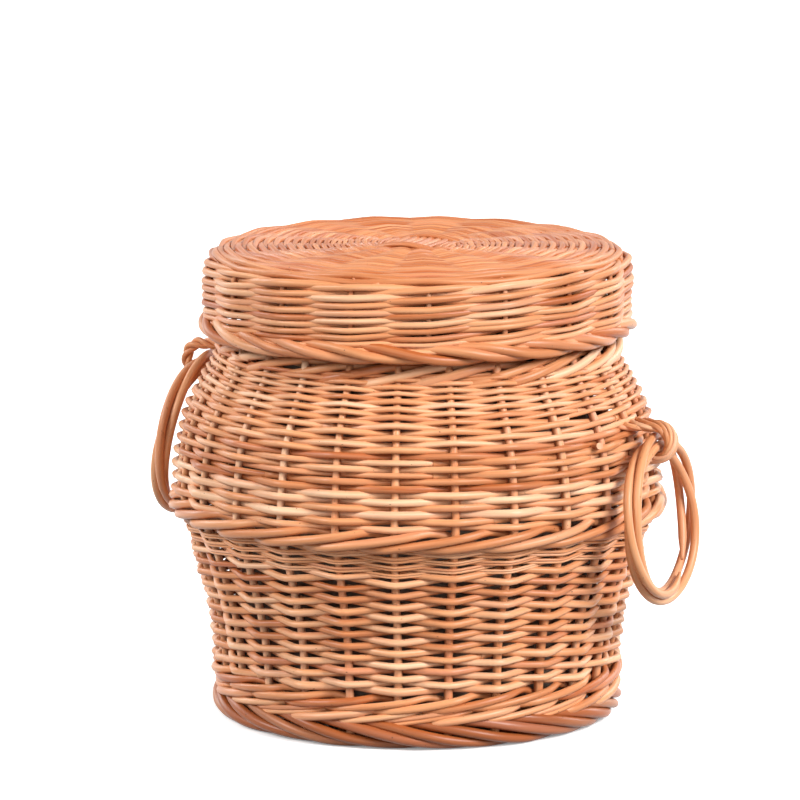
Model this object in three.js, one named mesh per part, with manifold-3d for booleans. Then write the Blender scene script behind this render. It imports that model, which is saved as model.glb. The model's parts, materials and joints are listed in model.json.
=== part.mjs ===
// Wicker laundry hamper: a round willow basket with a belly and a narrower neck, a lift-off lid,
// a cloth liner and two ring handles. Millimetres, +Z up, standing on z = 0, handles on the X axis.
import * as THREE from 'three';
import loadManifold from 'manifold-3d';

// Clearances
const SEAT_GAP = 0.3; // between a piece and what it rests on
const STRAND_GAP = 0.7; // between neighbouring strands of one ring or weave
const BORDER_GAP = 1.2; // between neighbouring strands of a border
const EYE_PLAY = 0.9; // between a ring handle and its eye, all round
const REST_CUT = 1.2; // depth of the flat that the foot stands on

// Rods
const STAKE_DIAMETER = 6.6;
const WEAVER_DIAMETER = 4.8;
const UPSETT_DIAMETER = 7.6;
const BELLY_DIAMETER = 9.0;
const FOOT_ROD_DIAMETER = 9.8;
const RIM_ROD_DIAMETER = 9.0;
const LID_ROD_DIAMETER = 9.8;
const RING_ROD_DIAMETER = 7.4;
const EYE_DIAMETER = 8.4;
const STICK_DIAMETER = 7.0;

// Wall of the basket: stations of its middle line, as radius and height
const STAKE_COUNT = 25;
const STAKE_STEPS = 9;
const FOOT_RADIUS = 161.5;
const SHIN_RADIUS = 168.5;
const SHIN_HEIGHT = 89;
const HIP_INSET = 12.5; // from the belly's radius in to the hip's
const HIP_HEIGHT = 150;
const BELLY_RADIUS = 198.5;
const BELLY_HEIGHT = 188;
const SHOULDER_INSET = 8; // from the belly's radius in to the shoulder's
const SHOULDER_HEIGHT = 251;
const NECK_RADIUS = 165;
const NECK_HEIGHT = 301;
const LOWER_PITCH = 5.9; // least rise of the lower weave in one turn, along the wall
const UPPER_PITCH = 5.5;
const UPSETT_TURNS = 3;
const BELLY_TURNS = 3;

// Rolled borders
const ROLL_LOOPS = 3;
const BORDER_STEPS = 45;
const ROLL_TWISTS = 4; // whole twists in one loop, on top of the third that joins the strands
const FOOT_BORDER_INSET = 3; // from the foot of the wall in to the border's middle
const RIM_INSET = 2; // from the top of the wall in to the rim border's middle
const LID_BORDER_OUTSET = 10; // from the rim border's middle out to the lid border's

// Base and liner
const BASE_THICKNESS = 7;
const BASE_ROWS = 9;
const BASE_COLUMNS = 24;
const LINER_THICKNESS = 1.2;
const LINER_FOLDS = 12;
const LINER_FOLD_DEPTH = 3.5;
const LINER_CLEARANCE = 0.8; // from the liner's folds to the rods round it
const LINER_NECK = 60; // height below the hem at which the liner starts to widen

// Lid
const LID_COLUMNS = 25; // ribs that the lid is woven on
const LID_WALL_OUTSET = 9; // from the lid border's middle out to the lid's outer face
const LID_WALL_THICKNESS = 8;
const LID_WALL_ROWS = 6;
const LID_HEIGHT = 399;
const LID_TOP_THICKNESS = 7;
const LID_TOP_ROWS = 16;
const LID_TOP_MIDDLE = 60; // radius inside which the rows are too fine to model
const LID_TOP_FINE = 5; // spacing of the rows next to the middle
const LID_EDGE_ROUND = 12;
const LID_HAUNCH = 6; // width of the slope inside the lid's edge
const RELIEF = 1.5; // height of the weave's bumps on the close-woven pieces

// Handles
const RING_RADIUS = 64;
const RING_LOOPS = 3;
const RING_TWISTS = 1;
const RING_END_ANGLE = 135; // place of the rod's two ends, in degrees from the eye
const EYE_REACH = 13.5; // from the outside of the weave to the middle of the ring's rod
const RIGHT_EYE_HEIGHT = 243;
const LEFT_EYE_HEIGHT = 285;
const RIGHT_LEAN = 5; // least angle in degrees that the ring hangs away from upright
const LEFT_LEAN = 10.8;

const footBorderRadius = FOOT_RADIUS - FOOT_BORDER_INSET;
const rimRadius = NECK_RADIUS - RIM_INSET;
const lidBorderRadius = rimRadius + LID_BORDER_OUTSET;
const lidWallRadius = lidBorderRadius + LID_WALL_OUTSET;
const TURN = 2 * Math.PI;
const GAP_SEARCH = 50; // how far round a piece its nearest neighbour is looked for
const LEAN_STEP = 0.0002; // radians to which a hanging ring's angle is found
const STAKE_STEP = TURN / STAKE_COUNT;
const willow = { roughness: 0.55, metalness: 0 };

// Point at an angle about the Z axis
function around(angle, radius, height) {
  return new THREE.Vector3(radius * Math.cos(angle), radius * Math.sin(angle), height);
}

// Closed surface through loops of equal point counts. Two end points close it as a rod or a dish;
// without them the last loop joins the first, as on a ring.
function skin(loops, ends) {
  const count = loops[0].length;
  const points = loops.flat();
  const faces = [];
  const bands = ends ? loops.length - 1 : loops.length;
  for (let band = 0; band < bands; band += 1) {
    const low = band * count;
    const high = ((band + 1) % loops.length) * count;
    for (let side = 0; side < count; side += 1) {
      const next = (side + 1) % count;
      faces.push(low + side, low + next, high + next, low + side, high + next, high + side);
    }
  }
  if (ends) {
    const first = points.length;
    const last = first + 1;
    const top = (loops.length - 1) * count;
    points.push(...ends);
    for (let side = 0; side < count; side += 1) {
      const next = (side + 1) % count;
      faces.push(first, next, side, last, top + side, top + next);
    }
  }
  return closedGeometry(points, faces);
}

// Geometry of a closed surface, with its faces turned outwards
function closedGeometry(points, faces) {
  if (signedVolume(points, faces) < 0) {
    faces.reverse();
  }
  const geometry = new THREE.BufferGeometry().setFromPoints(points);
  geometry.setIndex(faces);
  geometry.computeVertexNormals();
  return geometry;
}

function signedVolume(points, faces) {
  let sum = 0;
  for (let i = 0; i < faces.length; i += 3) {
    const [a, b, c] = [points[faces[i]], points[faces[i + 1]], points[faces[i + 2]]];
    sum += a.dot(new THREE.Vector3().crossVectors(b, c));
  }
  return sum / 6;
}

function middle(loop) {
  return loop.reduce((sum, point) => sum.add(point), new THREE.Vector3()).divideScalar(loop.length);
}

// Rod through the given cross-sections
function rod(sections) {
  return skin(sections, [middle(sections[0]), middle(sections.at(-1))]);
}

function mesh(name, geometry, colour, finish = willow) {
  const material = new THREE.MeshStandardMaterial({ color: colour, ...finish });
  const piece = new THREE.Mesh(geometry, material);
  piece.name = name;
  return piece;
}

// Least gap between the strands of a rod that passes itself, from points along its middle line
function printLeastGap(name, path, diameter, stepsPerTurn) {
  const points = [];
  const parts = 4;
  for (let i = 0; i + 1 < path.length; i += 1) {
    for (let part = 0; part < parts; part += 1) {
      points.push(path[i].clone().lerp(path[i + 1], part / parts));
    }
  }
  let least = Infinity;
  const apart = Math.round((stepsPerTurn * parts) / 2);
  for (let i = 0; i < points.length; i += 1) {
    for (let j = i + apart; j < points.length; j += 1) {
      least = Math.min(least, points[i].distanceTo(points[j]));
    }
  }
  console.log(`${name}: least gap between its turns ${(least - diameter).toFixed(2)} mm`);
}

// The wall line runs from the top of the foot border to the underside of the rim border
const footRoll = rollSize(FOOT_ROD_DIAMETER);
const rimRoll = rollSize(RIM_ROD_DIAMETER);
const footTop = 2 * footRoll - REST_CUT;
const wallLine = new THREE.SplineCurve([
  new THREE.Vector2(FOOT_RADIUS, footTop + SEAT_GAP),
  new THREE.Vector2(SHIN_RADIUS, SHIN_HEIGHT),
  new THREE.Vector2(BELLY_RADIUS - HIP_INSET, HIP_HEIGHT),
  new THREE.Vector2(BELLY_RADIUS, BELLY_HEIGHT),
  new THREE.Vector2(BELLY_RADIUS - SHOULDER_INSET, SHOULDER_HEIGHT),
  new THREE.Vector2(NECK_RADIUS, NECK_HEIGHT),
]);
const wallLength = wallLine.getLength();
const stakePoints = wallLine.getSpacedPoints(STAKE_STEPS);

// Point of the wall at a distance along its line, moved outward by an offset, with its directions.
// It follows the straight steps of the stakes, so that what is woven on them keeps its clearance.
function wallAt(distance, offset = 0) {
  const share = THREE.MathUtils.clamp(distance / wallLength, 0, 1);
  const along = wallLine.getTangentAt(share);
  const outward = new THREE.Vector2(along.y, -along.x);
  const step = Math.min(Math.floor(share * STAKE_STEPS), STAKE_STEPS - 1);
  const place = stakePoints[step].clone().lerp(stakePoints[step + 1], share * STAKE_STEPS - step);
  return { place: place.addScaledVector(outward, offset), along, outward };
}

// Distance along the wall line at which it reaches a height
function wallDistance(height) {
  let low = 0;
  let high = wallLength;
  while (high - low > 0.001) {
    const half = (low + high) / 2;
    if (wallAt(half).place.y < height) {
      low = half;
    } else {
      high = half;
    }
  }
  return low;
}

// Upright rods of the wall
function stake(index) {
  const steps = STAKE_STEPS;
  const sides = 4;
  const sections = [];
  for (let step = 0; step <= steps; step += 1) {
    const { place, outward } = wallAt((wallLength * step) / steps);
    const loop = [];
    for (let side = 0; side < sides; side += 1) {
      const turn = (TURN * side) / sides;
      const point = place.clone().addScaledVector(outward, (STAKE_DIAMETER / 2) * Math.cos(turn));
      const across = (STAKE_DIAMETER / 2) * Math.sin(turn);
      const angle = index * STAKE_STEP;
      const height = step === 0 || step === steps ? place.y : point.y;
      loop.push(around(angle, point.x, height).add(around(angle + Math.PI / 2, across, 0)));
    }
    sections.push(loop);
  }
  return mesh(`stake_${String(index + 1).padStart(2, '0')}`, rod(sections), 0xd9a06e);
}

// One unbroken weaver that climbs the wall, passing outside some stakes and inside the next.
// STAKE_COUNT leaves a remainder of one for both patterns, so each turn shifts by one stake.
function weaver({ start, pitch, turns, over, under, diameter, sides }) {
  const offset = STAKE_DIAMETER / 2 + diameter / 2 + SEAT_GAP;
  const path = [];
  const sections = [];
  for (let crossing = 0; crossing < turns * STAKE_COUNT; crossing += 1) {
    const angle = crossing * STAKE_STEP;
    const outside = crossing % (over + under) < over;
    const distance = start + (pitch * crossing) / STAKE_COUNT;
    const { place, along, outward } = wallAt(distance, outside ? offset : -offset);
    const loop = [];
    for (let side = 0; side < sides; side += 1) {
      const turn = (TURN * side) / sides;
      const point = place
        .clone()
        .addScaledVector(outward, (diameter / 2) * Math.cos(turn))
        .addScaledVector(along, (diameter / 2) * Math.sin(turn));
      loop.push(around(angle, point.x, point.y));
    }
    path.push(around(angle, place.x, place.y));
    sections.push(loop);
  }
  return { path, sections, diameter };
}

// Bands of weave, each starting where the one below leaves off
const upsettPitch = UPSETT_DIAMETER + STRAND_GAP;
const bellyPitch = BELLY_DIAMETER + STRAND_GAP;
const upsettStart = UPSETT_DIAMETER / 2 + SEAT_GAP;
const upsettEnd = upsettStart + (UPSETT_TURNS - 1) * upsettPitch;
const bellyStart = wallDistance(BELLY_HEIGHT) - (BELLY_TURNS * bellyPitch) / 2;
const bellyEnd = bellyStart + (BELLY_TURNS - 1) * bellyPitch;
const bands = {
  upsett_wale: wale(upsettStart, UPSETT_TURNS, upsettPitch, UPSETT_DIAMETER),
  lower_weave: randing(upsettEnd, upsettPitch, UPSETT_DIAMETER, bellyStart, BELLY_DIAMETER, LOWER_PITCH),
  belly_wale: wale(bellyStart, BELLY_TURNS, bellyPitch, BELLY_DIAMETER),
  upper_weave: randing(bellyEnd, bellyPitch, BELLY_DIAMETER, wallLength, 0, UPPER_PITCH),
};

// Thick rod that passes outside two stakes and inside the third
function wale(start, turns, pitch, diameter) {
  return weaver({ start, turns, pitch, diameter, over: 2, under: 1, sides: 4 });
}

// Thin rod in and out of every stake, filling the wall between two bands with even turns
function randing(below, belowPitch, belowDiameter, above, aboveDiameter, leastPitch) {
  const step = (belowDiameter + WEAVER_DIAMETER) / 2 + STRAND_GAP;
  const start = below + Math.max(step, belowPitch + step - leastPitch);
  const space = above - (aboveDiameter + WEAVER_DIAMETER) / 2 - STRAND_GAP - start;
  const turns = Math.floor(space / leastPitch);
  const pitch = space / turns;
  return weaver({ start, turns, pitch, diameter: WEAVER_DIAMETER, over: 1, under: 1, sides: 3 });
}

const bandColours = {
  upsett_wale: 0xcc8f5c,
  lower_weave: 0xd09562,
  belly_wale: 0xd89a63,
  upper_weave: 0xdda26d,
};

function wallBand(name) {
  const { path, sections, diameter } = bands[name];
  printLeastGap(name, path, diameter, STAKE_COUNT);
  return mesh(name, rod(sections), bandColours[name]);
}

// Radius of the circle that the middle lines of a roll's strands lie on
function strandCircle(diameter, gap, loops) {
  return (diameter + gap) / (2 * Math.sin(Math.PI / loops));
}

// Outer radius of a border
function rollSize(diameter) {
  return strandCircle(diameter, BORDER_GAP, ROLL_LOOPS) + diameter / 2;
}

// One unbroken rod wound several times round a ring, its strands twisting about each other
function roll(name, { radius, height, diameter, gap, loops, twists, steps, sides }) {
  const reach = strandCircle(diameter, gap, loops);
  const twistRate = twists + 1 / loops;
  const path = [];
  const sections = [];
  for (let step = 0; step < loops * steps; step += 1) {
    const angle = (TURN * step) / steps;
    const twist = twistRate * angle;
    const centre = new THREE.Vector2(radius, height);
    centre.x += reach * Math.cos(twist);
    centre.y += reach * Math.sin(twist);
    const loop = [];
    for (let side = 0; side < sides; side += 1) {
      const turn = twist + (TURN * side) / sides;
      const x = centre.x + (diameter / 2) * Math.cos(turn);
      const y = centre.y + (diameter / 2) * Math.sin(turn);
      loop.push(around(angle, x, y));
    }
    path.push(around(angle, centre.x, centre.y));
    sections.push(loop);
  }
  printLeastGap(name, path, diameter, steps);
  return rod(sections);
}

const border = { loops: ROLL_LOOPS, twists: ROLL_TWISTS, gap: BORDER_GAP, steps: BORDER_STEPS, sides: 4 };
const { Manifold, Mesh: SolidMesh } = await manifoldLibrary();

async function manifoldLibrary() {
  const library = await loadManifold();
  library.setup();
  return library;
}

function solid(geometry) {
  const vertProperties = new Float32Array(geometry.attributes.position.array);
  const triVerts = new Uint32Array(geometry.index.array);
  return new Manifold(new SolidMesh({ numProp: 3, vertProperties, triVerts }));
}

// Cut everything below z = 0 off a geometry
function cutFlat(geometry) {
  const cut = solid(geometry).trimByPlane([0, 0, 1], 0).getMesh();
  const result = new THREE.BufferGeometry();
  result.setAttribute('position', new THREE.BufferAttribute(new Float32Array(cut.vertProperties), 3));
  result.setIndex(Array.from(cut.triVerts));
  result.computeVertexNormals();
  return result;
}

// How far a shape sinks before it rests on another
function settleDepth(shape, support) {
  const moving = solid(shape);
  const still = solid(support);
  let depth = 0;
  let spare = Infinity;
  while (spare > 0.02) {
    spare = still.minGap(moving.translate([0, 0, -depth]), GAP_SEARCH) - SEAT_GAP;
    depth += spare;
  }
  return depth;
}

function footBorder() {
  const height = footRoll - REST_CUT;
  const shape = roll('foot_border', {
    ...border,
    radius: footBorderRadius,
    height,
    diameter: FOOT_ROD_DIAMETER,
  });
  return mesh('foot_border', cutFlat(shape), 0xc68a58);
}

const rimHeight = NECK_HEIGHT + SEAT_GAP + rimRoll;

const rimShape = roll('rim_border', {
  ...border,
  radius: rimRadius,
  height: rimHeight,
  diameter: RIM_ROD_DIAMETER,
});

// Loop of the base: bumps stand out where the strand passes over a stick
function wovenLoop(row, radius, height) {
  const loop = [];
  for (let column = 0; column < BASE_COLUMNS; column += 1) {
    const lift = (column + row) % 2 === 0 ? RELIEF : -RELIEF;
    loop.push(around((TURN * column) / BASE_COLUMNS, radius, height + lift));
  }
  return loop;
}

// Woven disc on crossed sticks, resting on the foot border inside the stakes
const baseRadius = FOOT_RADIUS - STAKE_DIAMETER / 2 - UPSETT_DIAMETER - 2 * SEAT_GAP;
const footInset = footBorderRadius - baseRadius;
const footSeat = footRoll - REST_CUT + Math.sqrt(Math.max(0, footRoll ** 2 - footInset ** 2));
const baseBottom = footSeat + SEAT_GAP + RELIEF;
const footInside = (footBorderRadius - footRoll) * Math.cos(Math.PI / BORDER_STEPS) - SEAT_GAP;

function baseWeave() {
  const loops = [];
  const top = baseBottom + BASE_THICKNESS;
  for (let row = 1; row <= BASE_ROWS; row += 1) {
    loops.push(wovenLoop(row, (baseRadius * row) / BASE_ROWS, top));
  }
  for (let row = BASE_ROWS; row >= 1; row -= 1) {
    loops.push(wovenLoop(row, (baseRadius * row) / BASE_ROWS, baseBottom));
  }
  return mesh('base_weave', skin(loops, [around(0, 0, top), around(0, 0, baseBottom)]), 0xc48a58);
}

// Crossed sticks under a woven disc: three one way, three the other way below them
function crossSticks(prefix, topHeight, reach) {
  const group = new THREE.Group();
  const spacing = STICK_DIAMETER + STRAND_GAP;
  for (let index = 0; index < 6; index += 1) {
    const layer = Math.floor(index / 3);
    const aside = ((index % 3) - 1) * spacing;
    const length = 2 * Math.sqrt(reach ** 2 - (spacing + STICK_DIAMETER) ** 2);
    const shape = new THREE.CylinderGeometry(STICK_DIAMETER / 2, STICK_DIAMETER / 2, length, 8);
    const stick = mesh(`${prefix}_stick_${index + 1}`, shape, 0xb98557);
    const depth = STICK_DIAMETER / 2 + layer * (STICK_DIAMETER + SEAT_GAP);
    if (layer === 0) {
      stick.rotation.z = Math.PI / 2;
      stick.position.set(0, aside, topHeight - depth);
    } else {
      stick.position.set(aside, 0, topHeight - depth);
    }
    group.add(stick);
  }
  return group;
}

// Cloth bag that hangs from the rim border and stands on the base
function liner() {
  const columns = LINER_FOLDS * 4;
  const footRods = FOOT_RADIUS - UPSETT_DIAMETER;
  const neckRods = NECK_RADIUS - WEAVER_DIAMETER;
  const rodsInside = Math.min(footRods, neckRods) - STAKE_DIAMETER / 2 - SEAT_GAP;
  const clothRadius = rodsInside - LINER_FOLD_DEPTH - LINER_CLEARANCE;
  const bottom = baseBottom + BASE_THICKNESS + RELIEF + SEAT_GAP;
  const hemRadius = rimRadius - rimRoll - SEAT_GAP;
  const hemTop = rimHeight + rimRoll / 2;
  const levels = [
    { radius: clothRadius / 2, height: bottom, fold: 0 },
    { radius: clothRadius - 4, height: bottom, fold: 0.5 },
    { radius: clothRadius, height: bottom + 12, fold: 0.9 },
    { radius: clothRadius, height: (bottom + hemTop) / 2, fold: 1 },
    { radius: clothRadius + 1, height: hemTop - LINER_NECK, fold: 1 },
    { radius: hemRadius, height: rimHeight - rimRoll / 2, fold: 0 },
    { radius: hemRadius, height: hemTop, fold: 0 },
  ];
  const clothLoop = (level, inset) => {
    const lift = level.height === bottom ? inset : 0;
    const loop = [];
    for (let column = 0; column < columns; column += 1) {
      const angle = (TURN * column) / columns;
      const wave = Math.cos(angle * LINER_FOLDS) + 0.4 * Math.sin(angle * (LINER_FOLDS / 2 - 1));
      const radius = level.radius + (LINER_FOLD_DEPTH / 1.4) * level.fold * wave;
      loop.push(around(angle, radius - inset, level.height + lift));
    }
    return loop;
  };
  const outside = levels.map((level) => clothLoop(level, 0));
  const inside = levels.map((level) => clothLoop(level, LINER_THICKNESS)).reverse();
  const poles = [around(0, 0, bottom), around(0, 0, bottom + LINER_THICKNESS)];
  const cloth = { roughness: 0.95, metalness: 0 };
  return mesh('liner', skin([...outside, ...inside], poles), 0xbdb7ad, cloth);
}

// The lid's border rests on the rim border, its strands settled between those below
const lidRoll = rollSize(LID_ROD_DIAMETER);
const lidBorderShape = roll('lid_border', {
  ...border,
  radius: lidBorderRadius,
  height: rimHeight + rimRoll + lidRoll + SEAT_GAP,
  diameter: LID_ROD_DIAMETER,
});
const lidDrop = settleDepth(lidBorderShape, rimShape);
lidBorderShape.translate(0, 0, -lidDrop);
const lidBorderHeight = rimHeight + rimRoll + lidRoll + SEAT_GAP - lidDrop;
const lidWallBottom = lidBorderHeight + lidRoll + SEAT_GAP;
const lidWallInner = lidWallRadius - LID_WALL_THICKNESS;
const lidInside = (lidWallInner - LID_HAUNCH) * Math.cos(Math.PI / LID_COLUMNS) - SEAT_GAP;
const lidTopUnder = LID_HEIGHT - LID_TOP_THICKNESS - RELIEF;
const lidWallTop = LID_HEIGHT - LID_EDGE_ROUND - SEAT_GAP - RELIEF;

// Faces between two columns of points, where a row of the first meets a higher row of the next
function climbingFaces(first, next, rows, climb) {
  const held = (row) => THREE.MathUtils.clamp(row, 0, rows);
  const faces = [];
  for (let row = -climb; row < rows; row += 1) {
    const [low, high] = [held(row), held(row + 1)];
    const [nextLow, nextHigh] = [held(row + climb), held(row + climb + 1)];
    if (nextLow !== nextHigh) {
      faces.push(first + low, next + nextLow, next + nextHigh);
    }
    if (low !== high) {
      faces.push(first + low, next + nextHigh, first + high);
    }
  }
  return faces;
}

// Wall of the lid: strands that climb by one row from a rib to the next, over a plain inside
function lidWall() {
  const rings = 2 * LID_WALL_ROWS;
  const profile = [];
  for (let ring = 0; ring <= rings; ring += 1) {
    const radius = lidWallRadius - (ring % 2 === 0 ? 2 * RELIEF : 0);
    profile.push([radius, lidWallBottom + ((lidWallTop - lidWallBottom) * ring) / rings]);
  }
  profile.push([lidWallInner, lidWallTop], [lidWallInner, lidWallBottom]);
  const size = profile.length;
  const points = [];
  const faces = [];
  for (let column = 0; column < LID_COLUMNS; column += 1) {
    const first = column * size;
    const next = ((column + 1) % LID_COLUMNS) * size;
    points.push(...profile.map((place) => around((TURN * column) / LID_COLUMNS, ...place)));
    faces.push(...climbingFaces(first, next, rings, 2));
    for (const [low, high] of [[rings, rings + 1], [rings + 1, rings + 2], [rings + 2, 0]]) {
      faces.push(first + low, next + low, next + high, first + low, next + high, first + high);
    }
  }
  return mesh('lid_wall', closedGeometry(points, faces), 0xd99d68);
}

const lidTopFlat = lidWallRadius - RELIEF - LID_EDGE_ROUND;
const lidTopCoarse = (2 * (lidTopFlat - LID_TOP_MIDDLE)) / LID_TOP_ROWS - LID_TOP_FINE;

// Radius of a place among the lid top's rows, whose spacing grows evenly outwards
function rowRadius(row) {
  const growth = (lidTopCoarse - LID_TOP_FINE) / (2 * LID_TOP_ROWS);
  return LID_TOP_MIDDLE + LID_TOP_FINE * row + growth * row ** 2;
}

function ribLoop(radius, height) {
  const loop = [];
  for (let column = 0; column < LID_COLUMNS; column += 1) {
    loop.push(around((TURN * column) / LID_COLUMNS, radius, height));
  }
  return loop;
}

// Woven disc, its rows standing up in rings, with a rounded edge that comes down onto the lid wall
function lidTop() {
  const crown = LID_HEIGHT - RELIEF;
  const loops = [];
  for (let ring = 0; ring <= 2 * LID_TOP_ROWS; ring += 1) {
    loops.push(ribLoop(rowRadius(ring / 2), crown + (ring % 2 === 0 ? -RELIEF : RELIEF)));
  }
  for (const [bend, lift] of [[30, RELIEF], [60, -RELIEF], [90, 0]]) {
    const angle = THREE.MathUtils.degToRad(bend);
    const reach = LID_EDGE_ROUND + lift;
    const height = crown - LID_EDGE_ROUND + reach * Math.cos(angle);
    loops.push(ribLoop(lidTopFlat + reach * Math.sin(angle), height));
  }
  loops.push(ribLoop(lidWallInner, crown - LID_EDGE_ROUND));
  loops.push(ribLoop(lidWallInner - LID_HAUNCH, lidTopUnder));
  return mesh('lid_top', skin(loops, [around(0, 0, crown), around(0, 0, lidTopUnder)]), 0xe6ac80);
}

// Outermost radius of the wall's weave behind a foot of some width, at an angle and height
function weaveFace(angle, height, width) {
  const parts = 30;
  const reach = width / 2 + SEAT_GAP;
  const upright = new THREE.Vector3(0, 0, 1);
  let face = 0;
  for (const { sections } of Object.values(bands)) {
    for (let i = 0; i + 1 < sections.length; i += 1) {
      for (let part = 0; part < parts; part += 1) {
        const ridge = sections[i][0].clone().lerp(sections[i + 1][0], part / parts);
        ridge.applyAxisAngle(upright, -angle);
        const level = Math.abs(ridge.z - height) < reach + WEAVER_DIAMETER / 2;
        if (level && Math.abs(ridge.y) < reach) {
          face = Math.max(face, ridge.x);
        }
      }
    }
  }
  return face;
}

// Bent loop that stands out from the wall and holds a ring, with both feet on the weave
const ringRoll = strandCircle(RING_ROD_DIAMETER, STRAND_GAP, RING_LOOPS) + RING_ROD_DIAMETER / 2;
const eyeBend = ringRoll + EYE_PLAY + EYE_DIAMETER / 2;

function eyeShape(upperFoot, lowerFoot) {
  const steps = 8;
  const sides = 6;
  const lift = EYE_PLAY - SEAT_GAP; // the ring hangs low in its eye
  const stations = [{ start: upperFoot, bend: Math.PI / 2 }];
  for (let step = 0; step <= steps; step += 1) {
    stations.push({ start: 0, bend: Math.PI / 2 - (Math.PI * step) / steps });
  }
  stations.push({ start: lowerFoot, bend: -Math.PI / 2 });
  const sections = stations.map(({ start, bend }) => {
    const loop = [];
    for (let side = 0; side < sides; side += 1) {
      const turn = (TURN * side) / sides;
      const reach = eyeBend + (EYE_DIAMETER / 2) * Math.cos(turn);
      const across = (EYE_DIAMETER / 2) * Math.sin(turn);
      const rise = lift + reach * Math.sin(bend);
      loop.push(new THREE.Vector3(start + reach * Math.cos(bend), across, rise));
    }
    return loop;
  });
  return rod(sections);
}

// The eye's feet reach in until one of them rests on the weave
function eye(name, angle, axisRadius, height) {
  const upperFoot = weaveFace(angle, height + eyeBend, EYE_DIAMETER) + SEAT_GAP - axisRadius;
  const lowerFoot = weaveFace(angle, height - eyeBend, EYE_DIAMETER) + SEAT_GAP - axisRadius;
  const placed = eyeShape(upperFoot, lowerFoot).translate(axisRadius, 0, height).rotateZ(angle);
  const spare = solid(placed).minGap(solid(rod(bands.upper_weave.sections)), GAP_SEARCH) - SEAT_GAP;
  return mesh(name, eyeShape(upperFoot - spare, lowerFoot - spare), 0xd0945f);
}

// Angle in radians, no less than the given one in degrees, at which a ring hangs clear of the wall
function hangingLean(shape, angle, axisRadius, height, leastLean) {
  const wall = Object.values(bands).map(({ sections }) => solid(rod(sections)));
  const isClear = (lean) => {
    const hung = shape.clone().rotateY(-lean).translate(axisRadius, 0, height).rotateZ(angle);
    const ring = solid(hung);
    return wall.every((band) => ring.minGap(band, SEAT_GAP) >= SEAT_GAP);
  };
  let low = THREE.MathUtils.degToRad(leastLean);
  let high = Math.PI / 2;
  if (isClear(low)) {
    return low;
  }
  while (high - low > LEAN_STEP) {
    const half = (low + high) / 2;
    if (isClear(half)) {
      high = half;
    } else {
      low = half;
    }
  }
  return high;
}

// An eye on the wall with its ring, which leans out from the eye
function handle(side, angle, height, leastLean) {
  const group = new THREE.Group();
  const distance = wallDistance(height);
  const outside = STAKE_DIAMETER / 2 + WEAVER_DIAMETER + SEAT_GAP;
  const axisRadius = wallAt(distance, outside).place.x + EYE_REACH;
  group.rotation.z = angle;
  const hinge = new THREE.Group();
  hinge.position.set(axisRadius, 0, height);
  hinge.add(eye(`${side}_eye`, angle, axisRadius, height));
  const shape = roll(`${side}_ring`, {
    radius: RING_RADIUS,
    height: 0,
    diameter: RING_ROD_DIAMETER,
    gap: STRAND_GAP,
    loops: RING_LOOPS,
    twists: RING_TWISTS,
    steps: 24,
    sides: 6,
  });
  shape.rotateZ(THREE.MathUtils.degToRad(RING_END_ANGLE)).rotateY(Math.PI / 2);
  shape.translate(0, 0, -RING_RADIUS);
  const swing = new THREE.Group();
  const lean = hangingLean(shape, angle, axisRadius, height, leastLean);
  swing.rotation.y = -lean;
  swing.add(mesh(`${side}_ring`, shape, 0xdc9c62));
  hinge.add(swing);
  group.add(hinge);
  const degrees = THREE.MathUtils.radToDeg(lean).toFixed(2);
  console.log(`${side} handle: axis radius ${axisRadius.toFixed(2)}, height ${height}, lean ${degrees}`);
  return group;
}

const hamper = new THREE.Group();
hamper.name = 'wicker_laundry_hamper';
for (let index = 0; index < STAKE_COUNT; index += 1) {
  hamper.add(stake(index));
}
for (const name of Object.keys(bands)) {
  hamper.add(wallBand(name));
}
hamper.add(footBorder(), mesh('rim_border', rimShape, 0xd29560), baseWeave(), liner());
hamper.add(crossSticks('base', baseBottom - RELIEF - SEAT_GAP, footInside));
hamper.add(mesh('lid_border', lidBorderShape, 0xd69a64), lidWall(), lidTop());
hamper.add(crossSticks('lid', lidTopUnder - SEAT_GAP, lidInside));
hamper.add(handle('right', 0, RIGHT_EYE_HEIGHT, RIGHT_LEAN));
hamper.add(handle('left', Math.PI, LEFT_EYE_HEIGHT, LEFT_LEAN));

export default hamper;
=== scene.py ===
"""Wicker laundry hamper: a round willow basket with a belly, a lift-off lid, a liner and two rings.

Every rod of the weave, the borders, the lid and the handles is a round section carried along its
own path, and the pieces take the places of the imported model's nodes. Metres, +Z up.
"""

import json
import math
from typing import NamedTuple

import bpy
import numpy as np
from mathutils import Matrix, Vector


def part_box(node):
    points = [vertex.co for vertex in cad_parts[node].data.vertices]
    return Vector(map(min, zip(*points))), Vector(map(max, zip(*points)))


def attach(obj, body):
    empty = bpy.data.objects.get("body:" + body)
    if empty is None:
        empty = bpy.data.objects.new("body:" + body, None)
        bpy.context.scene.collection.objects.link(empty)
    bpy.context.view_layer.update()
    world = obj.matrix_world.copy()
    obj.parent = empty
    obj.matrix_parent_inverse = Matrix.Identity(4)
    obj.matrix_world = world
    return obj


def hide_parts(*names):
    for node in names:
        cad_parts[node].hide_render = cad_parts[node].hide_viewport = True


bl_info = {
    "name": "Wicker laundry hamper",
    "version": (1, 0, 0),
    "blender": (4, 5, 0),
    "location": "View3D > Sidebar > Hamper",
    "description": "Weaves a willow hamper with a lid, a cloth liner and ring handles",
    "category": "Add Mesh",
}

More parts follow.
